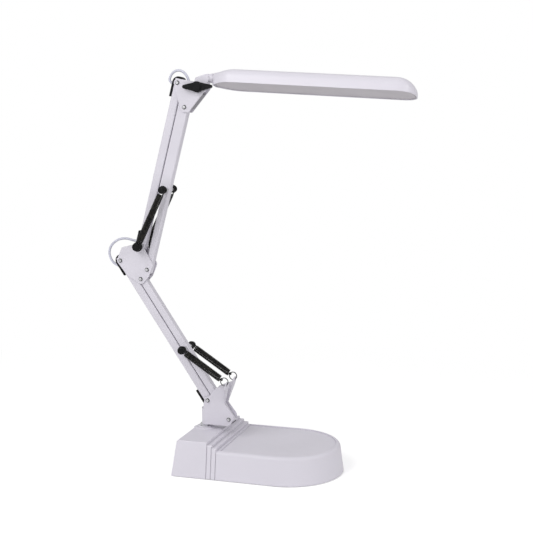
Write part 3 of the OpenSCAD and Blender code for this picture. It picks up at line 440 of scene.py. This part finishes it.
def cast_iron(name):
    """Rough cast ballast: sand texture with rust-brown clouds."""
    f = Finish(name)
    sand, rust = f.noise(0.0012, 4), f.noise(0.02, 5)
    f.set(Base_Color=f.mixed(rust.clamped(0.5, 0.7), (0.05, 0.05, 0.052, 1),
                             (0.09, 0.045, 0.025, 1)),
          Metallic=0.5, Roughness=0.62 + 0.2 * sand, Normal=f.bump(sand, 0.0004))
    return f.material


def board(name, colour):
    """Printed circuit board: lacquer over a faint pattern of tracks."""
    f = Finish(name)
    weave = f.node("ShaderNodeTexBrick", None,
                   {"Vector": f.place((260, 260, 260)), "Scale": 1.0,
                    "Color1": tone(colour, 1.0), "Color2": tone(colour, 1.25),
                    "Mortar": tone(colour, 0.6)})
    shine = f.noise(0.004, 3)
    f.set(Base_Color=weave, Roughness=0.28 + 0.2 * shine, Normal=f.bump(shine, 0.00002, 0.0002))
    return f.material


def lens_yellow(name):
    """Phosphor of the LED chips."""
    f = Finish(name)
    grain = f.noise(0.0004, 3)
    f.set(Base_Color=f.mixed(grain, (0.72, 0.55, 0.10, 1), (0.85, 0.70, 0.20, 1)),
          Roughness=0.15 + 0.2 * grain, Normal=f.bump(grain, 0.00002))
    return f.material


# ------------------------------------------------------------------ surfaces

def grid_faces(rows, columns, closed):
    """Quads between neighbouring points of a rows x columns grid, its columns closed or open."""
    i, j = np.meshgrid(np.arange(rows - 1), np.arange(columns if closed else columns - 1),
                       indexing="ij")
    k = (j + 1) % columns
    return np.stack([i * columns + j, i * columns + k, (i + 1) * columns + k,
                     (i + 1) * columns + j], -1).reshape(-1, 4)


def new_piece(name, points, faces, material, sharp=None):
    """A smooth-shaded mesh object from an array of points and lists of faces."""
    mesh = bpy.data.meshes.new(name)
    mesh.from_pydata(np.asarray(points, float).tolist(), [], [list(map(int, q)) for q in faces])
    mesh.validate()
    mesh.polygons.foreach_set("use_smooth", np.ones(len(mesh.polygons), bool))
    if sharp is not None:
        mesh.set_sharp_from_angle(angle=sharp)
    mesh.materials.append(material)
    mesh.update()
    piece = bpy.data.objects.new(name, mesh)
    bpy.context.scene.collection.objects.link(piece)
    return piece


def swept(name, path, radius, sides, material):
    """A round tube: at each point of the path a circle stands square to it.

    The circle's first spoke is carried from ring to ring without twist, so each spoke is the
    last one less its part along the new tangent. Both ends are closed by a fan to their middle."""
    path = np.asarray(path, float)
    tangent = np.gradient(path, axis=0)
    tangent /= np.linalg.norm(tangent, axis=1)[:, None]
    spoke = np.cross(tangent[0], [0.13, 0.97, 0.2])
    spokes = []
    for t in tangent:
        spoke = spoke - np.dot(spoke, t) * t
        spoke /= np.linalg.norm(spoke)
        spokes.append(spoke)
    spokes = np.array(spokes)
    around = np.cross(tangent, spokes)
    phi = 2 * np.pi * np.arange(sides) / sides
    radius = np.broadcast_to(radius, len(path))[:, None, None]
    rings = path[:, None] + radius * (np.cos(phi)[None, :, None] * spokes[:, None]
                                      + np.sin(phi)[None, :, None] * around[:, None])
    n = len(path)
    points = np.vstack([rings.reshape(-1, 3), path[:1], path[-1:]])
    ring = np.arange(sides)
    start = [(n * sides, (k + 1) % sides, k) for k in ring]
    end = [(n * sides + 1, (n - 1) * sides + k, (n - 1) * sides + (k + 1) % sides) for k in ring]
    return new_piece(name, points, list(grid_faces(n, sides, True)) + start + end, material)


def through(points, count):
    """A Catmull-Rom curve through the points, with count steps between neighbours."""
    p = np.asarray(points, float)
    p = np.vstack([2 * p[0] - p[1], p, 2 * p[-1] - p[-2]])
    t = np.linspace(0, 1, count, endpoint=False)[None, :, None]
    a, b, c, d = (p[k:len(p) - 3 + k][:, None] for k in range(4))
    curve = 0.5 * (2 * b + (c - a) * t + (2 * a - 5 * b + 4 * c - d) * t ** 2
                   + (3 * b - a - 3 * c + d) * t ** 3)
    return np.vstack([curve.reshape(-1, p.shape[1]), points[-1]])


# ------------------------------------------------------------------ springs and cables

def spring_path(start, stop, s0, s1, turns, coil_r, hook0, hook1, y):
    """Middle line of a tension spring in the plane of its side of the lamp.

    Its axis runs from start to stop. Between s0 and s1 along it the wire winds: at turn angle f
    a point is the axis point at s plus the coil's radius times (cos f across the plane, sin f in
    it), and the radius draws in by a tenth over the first and last turn. At each end the wire
    runs once round the pin or ring on a circle of radius hook."""
    run = stop - start
    length = np.linalg.norm(run)
    along = np.array([run[0], 0, run[1]]) / length
    up = np.cross(along, [0, 1, 0])
    across = np.array([0, 1.0, 0])
    base = np.array([start[0], y, start[1]])
    f = np.linspace(0, 2 * np.pi * turns, int(turns * 20) + 1)
    s = s0 + (s1 - s0) * f / f[-1]
    from_end = np.minimum(f, f[-1] - f) / (2 * np.pi)
    r = (coil_r * (0.9 + 0.1 * np.minimum(1, from_end)))[:, None]
    body = base + along * s[:, None] + r * (np.cos(f)[:, None] * across + np.sin(f)[:, None] * up)

    def hook(centre, radius, sign):
        """From the far side of the pin round it to the point where the coil begins."""
        g = np.radians(np.linspace(-155, 85, 26))
        offset = np.linspace(0.9, 0.0, 26)
        side = radius * (np.cos(g)[:, None] * -along * sign + np.sin(g)[:, None] * up)
        return centre + side + across * offset[:, None]

    first = hook(base, hook0, 1)
    last = hook(base + along * length, hook1, -1)[::-1]
    lead0 = base + along * (s0 - 0.9) + up * hook0 * 0.5 + across * coil_r * 0.4
    lead1 = base + along * (s1 + 0.9) + up * hook1 * 0.5 + across * coil_r * 0.4
    return np.vstack([first, lead0[None], body[2:-2], lead1[None], last]) * MM


class LAMP_OT_springs(bpy.types.Operator):
    """Winds the four tension springs with their end hooks"""

    bl_idname = "lamp.springs"
    bl_label = "Wind springs"

    def execute(self, context):
        sizes = context.scene.lamp_sizes
        wire = sizes.wire / MM
        coil_r = (sizes.coil / MM - wire) / 2
        pull = RING_AT - LOWER_PIN
        ring_end = RING_AT - RING_R * pull / np.linalg.norm(pull)
        # name, its two ends, the coil's distance from each, the hooks' radii, the two bodies
        springs = (("lower", LOWER_PIN, ring_end, 6.9, 1.7, 5.3, 1.6, sizes.lower_turns,
                    "lower_front", "foot"),
                   ("upper", UPPER_PIN, KNOB_PIVOT, 6.9, 8.0, 5.3, 6.4, sizes.upper_turns,
                    "upper_front", "elbow"))
        for name, start, stop, gap0, gap1, hook0, hook1, turns, body0, body1 in springs:
            length = np.linalg.norm(stop - start)
            for side, y in (("near", -sizes.spring_y / MM), ("far", sizes.spring_y / MM)):
                path = spring_path(start, stop, gap0, length - gap1, turns, coil_r, hook0,
                                   hook1, y)
                piece = swept(f"{name}_coil_{side}", path, wire / 2 * MM, 12,
                              MATERIALS["black_wire"])
                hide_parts(f"{name}_spring_{side}")
                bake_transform(piece)
        return {"FINISHED"}


class LAMP_OT_cables(bpy.types.Operator):
    """Lays the cable loops at the elbow and at the top joint"""

    bl_idname = "lamp.cables"
    bl_label = "Lay cable loops"

    def execute(self, context):
        radius = context.scene.lamp_sizes.cable / 2
        sleeve = MATERIALS["cable_grey"]
        back_low, back_up = behind(LOWER_LEAN), behind(UPPER_LEAN)
        out_low = FOOT_REAR + OUTLET * lean(LOWER_LEAN)
        out_knob = KNOB_PIVOT + KNOB_OUTLET * lean(UPPER_LEAN)
        out_top = KNOB_PIVOT + OUTLET * lean(UPPER_LEAN)
        loop = [(-14, -5), (-18, -0.5), (-20.5, 5), (-21.4, 10.5), (-20, 17), (-16.5, 22.5),
                (-11.5, 27), (-5, 30.4), (2.5, 31.8), (9.5, 31.4), (15, 30)]
        route = [out_low + s * back_low for s in (7, 9, 11)]
        route += [ELBOW_REAR + q for q in loop]
        route += [out_knob + s * back_up for s in (11, 9, 7)]
        line = through(np.array([in_plane(q) for q in route]), 6)
        middle = int(len(line) * 0.5)
        halves = (("elbow_cable_low", line[:middle + 1], "lower_rear", "elbow"),
                  ("elbow_cable_high", line[middle:], "elbow", "upper_rear"))
        for name, part, a, b in halves:
            piece = swept(name, part, radius, 16, sleeve)
            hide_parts("elbow_cable_loop")
            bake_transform(piece)
        arc = [(-15, 4), (-14, 9), (-11, 13.6), (-6, 16.9), (-1, 17.6), (4, 16.2), (8.2, 13),
               (11.4, 8.8), (13.4, 4.2), (15.4, -0.6), (18.2, -3.6), (20.6, -5.1)]
        route = [out_top + s * back_up for s in (7, 9, 11)] + [TOP_REAR + q for q in arc]
        line = through(np.array([in_plane(q) for q in route]), 6)
        piece = swept("top_cable", line, radius, 16, sleeve)
        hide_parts("top_cable_loop")
        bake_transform(piece)
        return {"FINISHED"}


# ------------------------------------------------------------------ shade

def in_shade(points):
    """Points of the shade's own frame, in millimetres, moved to their place in metres."""
    roll, tilt = math.radians(-HEAD_ROLL), math.radians(HEAD_TILT)
    turn_x = np.array([[1, 0, 0], [0, math.cos(roll), -math.sin(roll)],
                       [0, math.sin(roll), math.cos(roll)]])
    turn_y = np.array([[math.cos(tilt), 0, math.sin(tilt)], [0, 1, 0],
                       [-math.sin(tilt), 0, math.cos(tilt)]])
    return (np.asarray(points) @ (turn_y @ turn_x).T + [COLLAR_AT[0], 0, COLLAR_AT[1]]) * MM


def ease(t):
    """A quarter wave that rises from 0 to 1 as t does."""
    return (1 - np.cos(np.pi * np.clip(t, 0, 1))) / 2


def shade_sizes(context):
    """Length, wall and half width of the shade in millimetres."""
    sizes = context.scene.lamp_sizes
    return sizes.shade_length / MM, sizes.shade_wall / MM, sizes.shade_width / MM / 2


def nose_share(u, end):
    """0 up to the nose, then rising to 1 at the shade's end."""
    return np.clip((u - end + NOSE) / NOSE, 0, 1)


def half_width(u, inset, length, half):
    """Half width of the shade at the places u along it.

    It opens from the mouth's as 1 - (1 - t)^1.76 over the flare and closes at the nose as
    (1 - t^2.6)^(1/2.6)."""
    opened = 1 - (1 - np.clip((u - SHADE_START) / FLARE, 0, 1)) ** 1.76
    t = nose_share(u, length - inset)
    return (MOUTH_HALF + (half - MOUTH_HALF) * opened - inset) * (1 - t ** 2.6) ** (1 / 2.6)


def shade_arches(u, angle, inset, length, half):
    """Arches of the shade at the places u along it, one row each.

    At arch angle a the point is |cos a|^0.62 of the half width across and sin(a)^0.55 of the
    height up from the lip. The height eases up from the mouth over 37 mm and closes at the
    nose as a quarter circle of the nose's length."""
    width = half_width(u, inset, length, half)
    lip = LIP - 0.4 + 0.4 * ease((u - SHADE_START) / 30)
    n = np.sqrt(1 - nose_share(u, length - inset) ** 2)
    crown = n * (MOUTH_CROWN + CROWN_RISE * ease((u - SHADE_START) / 37) - inset)
    crown = np.maximum(lip + 0.8, crown - (1 - n) * (8.4 + inset))
    across = np.sign(np.cos(angle)) * np.abs(np.cos(angle)) ** 0.62
    rise = np.abs(np.sin(angle)) ** 0.55
    return np.stack([np.broadcast_to(u[:, None], (len(u), len(angle))),
                     width[:, None] * across[None], lip[:, None]
                     + (crown - lip)[:, None] * rise[None]], -1)


def stations(start, end, counts, nose_to):
    """Places along the shade: evenly over the flare and the middle, closer towards the nose."""
    a, b, c = counts
    return np.concatenate([np.linspace(start, 46, a), np.linspace(52, end - NOSE - 1, b),
                           end - NOSE * (1 - np.sin(np.linspace(0, nose_to, c)))])


class LAMP_OT_shade(bpy.types.Operator):
    """Draws the shade's smooth double skin, joined along its lip"""

    bl_idname = "lamp.shade"
    bl_label = "Draw shade"

    def execute(self, context):
        length, wall, half = shade_sizes(context)
        e = np.linspace(0.0, 1.0, 57)
        angle = np.pi * (0.5 - 0.5 * np.cos(np.pi * e)) * 0.35 + np.pi * e * 0.65
        outer, inner = (
            shade_arches(stations(SHADE_START + inset, length - inset, (40, 24, 34), np.pi / 2),
                         angle, inset, length, half) for inset in (0.0, wall))
        rows, n = outer.shape[:2]
        loops = np.concatenate([outer, inner[:, ::-1]], 1)
        faces = list(grid_faces(rows, 2 * n, True))
        # The outer and inner face of the mouth. The strip of lip between them stays open.
        faces += [tuple(range(n)), tuple(range(n, 2 * n))]
        piece = new_piece("shade_skin", in_shade(loops.reshape(-1, 3)), faces,
                          MATERIALS["shade_plastic"], sharp=math.radians(50))
        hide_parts("shade_shell")
        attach(piece, "shade")
        return {"FINISHED"}


class LAMP_OT_light_panel(bpy.types.Operator):
    """Draws the light panel that closes the shade's underside"""

    bl_idname = "lamp.light_panel"
    bl_label = "Draw light panel"

    def execute(self, context):
        # A plate 1.6 mm thick, 1 mm above the lip and clear of the wall by half a millimetre.
        # Its loops run across it, below and back above, and its lower face bows by 0.3 mm.
        length, wall, half = shade_sizes(context)
        clear, points = wall + 0.5, 15
        u = stations(7.5, length - clear, (24, 24, 20), 1.36)
        share = np.sin(np.linspace(-np.pi / 2, np.pi / 2, points))
        height = np.concatenate([LIP + 1.0 - 0.3 * (1 - share ** 2), np.full(points, LIP + 2.6)])
        share = np.concatenate([share, share[::-1]])
        across = half_width(u, clear, length, half)[:, None] * share[None]
        loops = np.stack([np.broadcast_to(u[:, None], across.shape), across,
                          np.broadcast_to(height[None], across.shape)], -1)
        rows, n = across.shape
        faces = list(grid_faces(rows, n, True))
        faces += [tuple(range(n))[::-1], tuple(range((rows - 1) * n, rows * n))]
        piece = new_piece("panel_diffuser", in_shade(loops.reshape(-1, 3)), faces,
                          MATERIALS["light_panel"], sharp=math.radians(50))
        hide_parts("light_panel")
        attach(piece, "shade")
        return {"FINISHED"}


# ------------------------------------------------------------------ finishes of the CAD nodes

MATERIALS = {}
NODE_FINISH = {
    "powder_coat": ["foot_bracket", "lower_rear_bar", "lower_front_bar", "upper_rear_bar",
                    "upper_front_bar", "elbow_near_plate", "elbow_far_plate", "head_near_plate"],
    "web_coat": ["head_far_plate"],
    "base_plastic": ["base_housing"],
    "shade_plastic": ["shade_shell", "head_neck", "shade_collar"],
    "black_plastic": ["lower_rear_caps", "lower_front_plugs", "upper_rear_caps",
                      "upper_front_plugs", "lower_pin_caps", "upper_pin_caps", "elbow_pin_caps",
                      "wing_knob", "rear_panel", "inlet_socket", "switch_body", "switch_rocker",
                      "friction_washers"],
    "black_wire": ["lower_spring_near", "lower_spring_far", "upper_spring_near",
                   "upper_spring_far"],
    "bright_steel": ["bottom_plate", "base_screws", "swivel_post", "swivel_nut", "foot_sleeves",
                     "lower_spring_pin", "upper_spring_pin", "elbow_sleeves",
                     "elbow_pin", "head_sleeves", "clamp_bolt", "led_screws"],
    "ring_steel": ["spring_rings"],
    "foot_steel": ["foot_screws"],
    "elbow_steel": ["elbow_screws"],
    "head_steel": ["head_screws"],
    "light_panel": ["light_panel"],
    "cable_grey": ["elbow_cable_loop", "top_cable_loop", "lower_cable", "upper_cable"],
    "foam": ["foam_pad"],
    "cast_iron": ["ballast"],
    "driver_green": ["driver_board"],
    "led_white": ["led_board"],
    "led_yellow": ["led_chips"],
    "bush_white": ["swivel_bush", "driver_spacers", "board_posts"],
}


class LAMP_OT_finishes(bpy.types.Operator):
    """Makes the finishes and puts one on every node of the frame"""

    bl_idname = "lamp.finishes"
    bl_label = "Apply finishes"

    def execute(self, context):
        c = context.scene.lamp_colours
        paint, plastic, black = tuple(c.paint), tuple(c.plastic), tuple(c.black)
        MATERIALS.update(
            powder_coat=powder_coat("powder_coat", paint),
            web_coat=powder_coat("web_coat", paint, shaded_web_to=0.0067),
            base_plastic=moulded("base_plastic", plastic, radius=0.0010, wear_and_edge_highlight=0.0009),
            shade_plastic=moulded("shade_plastic", tone(plastic, 1.03)[:3], 0.0003, 0.000001, 0.30,
                                  0.0004, wear=0.02),
            black_plastic=black_moulding("black_plastic", black),
            black_wire=black_wire("black_wire", black),
            bright_steel=bright_steel("bright_steel", tuple(c.steel)),
            ring_steel=bright_steel("ring_steel", tone(c.steel, 0.2)[:3]),
            foot_steel=screw_steel("foot_steel", tuple(c.steel), (FOOT_REAR, FOOT_FRONT)),
            elbow_steel=screw_steel("elbow_steel", tuple(c.steel),
                                    (ELBOW_REAR, ELBOW_REAR + [32, -26], UPPER_FOOT)),
            head_steel=screw_steel("head_steel", tuple(c.steel),
                                   (TOP_REAR, TOP_REAR + [10, -34])),
            light_panel=prism_panel("light_panel", tuple(c.panel)),
            cable_grey=cable_sleeve("cable_grey", tuple(c.cable)),
            foam=foam("foam"), cast_iron=cast_iron("cast_iron"),
            driver_green=board("driver_green", (0.02, 0.16, 0.06)),
            led_white=board("led_white", (0.72, 0.72, 0.72)),
            led_yellow=lens_yellow("led_yellow"),
            bush_white=moulded("bush_white", (0.74, 0.72, 0.78), radius=0.0003))
        wanted = {node: key for key, nodes in NODE_FINISH.items() for node in nodes}
        for name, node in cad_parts.items():
            node.data.materials.clear()
            node.data.materials.append(MATERIALS[wanted[name]])
        return {"FINISHED"}


# ------------------------------------------------------------------ stage

class LAMP_OT_stage(bpy.types.Operator):
    """Sets the pale floor, the soft lamps and the camera"""

    bl_idname = "lamp.stage"
    bl_label = "Set stage"

    def execute(self, context):
        scene, stage = context.scene, context.scene.lamp_stage
        size = 6.0
        corners = np.array([[-size, -size, 0], [size, -size, 0], [size, size, 0],
                            [-size, size, 0]])
        f = Finish("studio_floor")
        speckle = f.noise(0.4, 2)
        f.set(Base_Color=f.mixed(speckle, (0.93, 0.93, 0.93, 1), (0.95, 0.95, 0.95, 1)),
              Roughness=0.85, Specular_IOR_Level=0.1)
        seen = f.seen_by("Camera")
        white, lift = (f.node("ShaderNodeEmission", None,
                              {"Color": (1, 1, 1, 1), "Strength": strength})
                       for strength in (1.0, stage.lift * seen))
        lit = f.node("ShaderNodeAddShader", None, {0: Signal(f, f.shader.outputs[0]), 1: lift})
        far = f.node("ShaderNodeVectorMath", {"operation": "LENGTH"},
                     {0: f.node("ShaderNodeTexCoord", output="Object")}, output=1)
        f.show(f.node("ShaderNodeMixShader", None,
                      {0: far.clamped(0.25, 0.9) * seen, 1: lit, 2: white}))
        new_piece("studio_floor", corners, [(0, 1, 2, 3)], f.material)

        scene.world = bpy.data.worlds.new("studio")
        sky = Finish("studio", scene.world)
        light, plain = (sky.node("ShaderNodeBackground", None,
                                 {"Color": (1, 1, 1, 1), "Strength": strength})
                        for strength in (stage.fill, 1.0))
        sky.show(sky.node("ShaderNodeMixShader", None,
                          {0: sky.seen_by("Camera") + sky.seen_by("Transmission"),
                           1: light, 2: plain}))

        for name, place, aim, power, width in (
                ("key", (-0.9, -1.5, 1.7), (0.05, 0, 0.25), stage.key, 1.2),
                ("side", (1.8, -0.6, 1.1), (0.05, 0, 0.25), stage.side, 1.0),
                ("top", (0.2, 0.5, 2.2), (0.05, 0, 0.1), stage.top, 1.4),
                ("front", (-0.1, -1.0, 0.72), (0.15, 0, 0.5), stage.front, 0.30)):
            lamp = bpy.data.lights.new(name, "AREA")
            lamp.energy, lamp.size = power, width
            holder = bpy.data.objects.new(name, lamp)
            holder.location = place
            direction = Vector(aim) - Vector(place)
            holder.rotation_euler = direction.to_track_quat("-Z", "Y").to_euler()
            scene.collection.objects.link(holder)

        lens = bpy.data.cameras.new("photo_view")
        camera = bpy.data.objects.new("photo_view", lens)
        lens.sensor_width = 36.0
        lens.lens = 18.0 / math.tan(stage.view_angle / 2)
        camera.location = (0.4918, -1.3147, 0.4593)
        gaze = Vector((0.09387, 0.0, 0.29044)) - Vector(camera.location)
        camera.rotation_euler = gaze.to_track_quat("-Z", "Y").to_euler()
        scene.collection.objects.link(camera)
        scene.camera = camera
        scene.view_settings.view_transform = "Standard"
        return {"FINISHED"}


class LAMP_PT_panel(bpy.types.Panel):
    """Lists the lamp's pieces and their settings"""

    bl_idname = "LAMP_PT_panel"
    bl_label = "Desk lamp"
    bl_space_type = "VIEW_3D"
    bl_region_type = "UI"
    bl_category = "Desk lamp"

    def draw(self, context):
        layout = self.layout
        for settings in (context.scene.lamp_sizes, context.scene.lamp_colours,
                         context.scene.lamp_stage):
            for key in settings.__annotations__:
                layout.prop(settings, key)
        for step in STEPS:
            layout.operator(step.bl_idname)


STEPS = (LAMP_OT_finishes, LAMP_OT_springs, LAMP_OT_cables, LAMP_OT_shade,
         LAMP_OT_light_panel, LAMP_OT_stage)
CLASSES = (LampSizes, LampColours, StageSettings, *STEPS, LAMP_PT_panel)


def register():
    """Registers the classes and puts their settings on the scene."""
    for c in CLASSES:
        bpy.utils.register_class(c)
    bpy.types.Scene.lamp_sizes = PointerProperty(type=LampSizes)
    bpy.types.Scene.lamp_colours = PointerProperty(type=LampColours)
    bpy.types.Scene.lamp_stage = PointerProperty(type=StageSettings)


def unregister():
    """Takes the settings and classes away again."""
    del bpy.types.Scene.lamp_sizes, bpy.types.Scene.lamp_colours, bpy.types.Scene.lamp_stage
    for c in reversed(CLASSES):
        bpy.utils.unregister_class(c)


def main():
    register()
    bpy.ops.lamp.finishes()
    bpy.ops.lamp.springs()
    bpy.ops.lamp.cables()
    bpy.ops.lamp.shade()
    bpy.ops.lamp.light_panel()
    bpy.ops.lamp.stage()


if __name__ == "__main__":
    main()
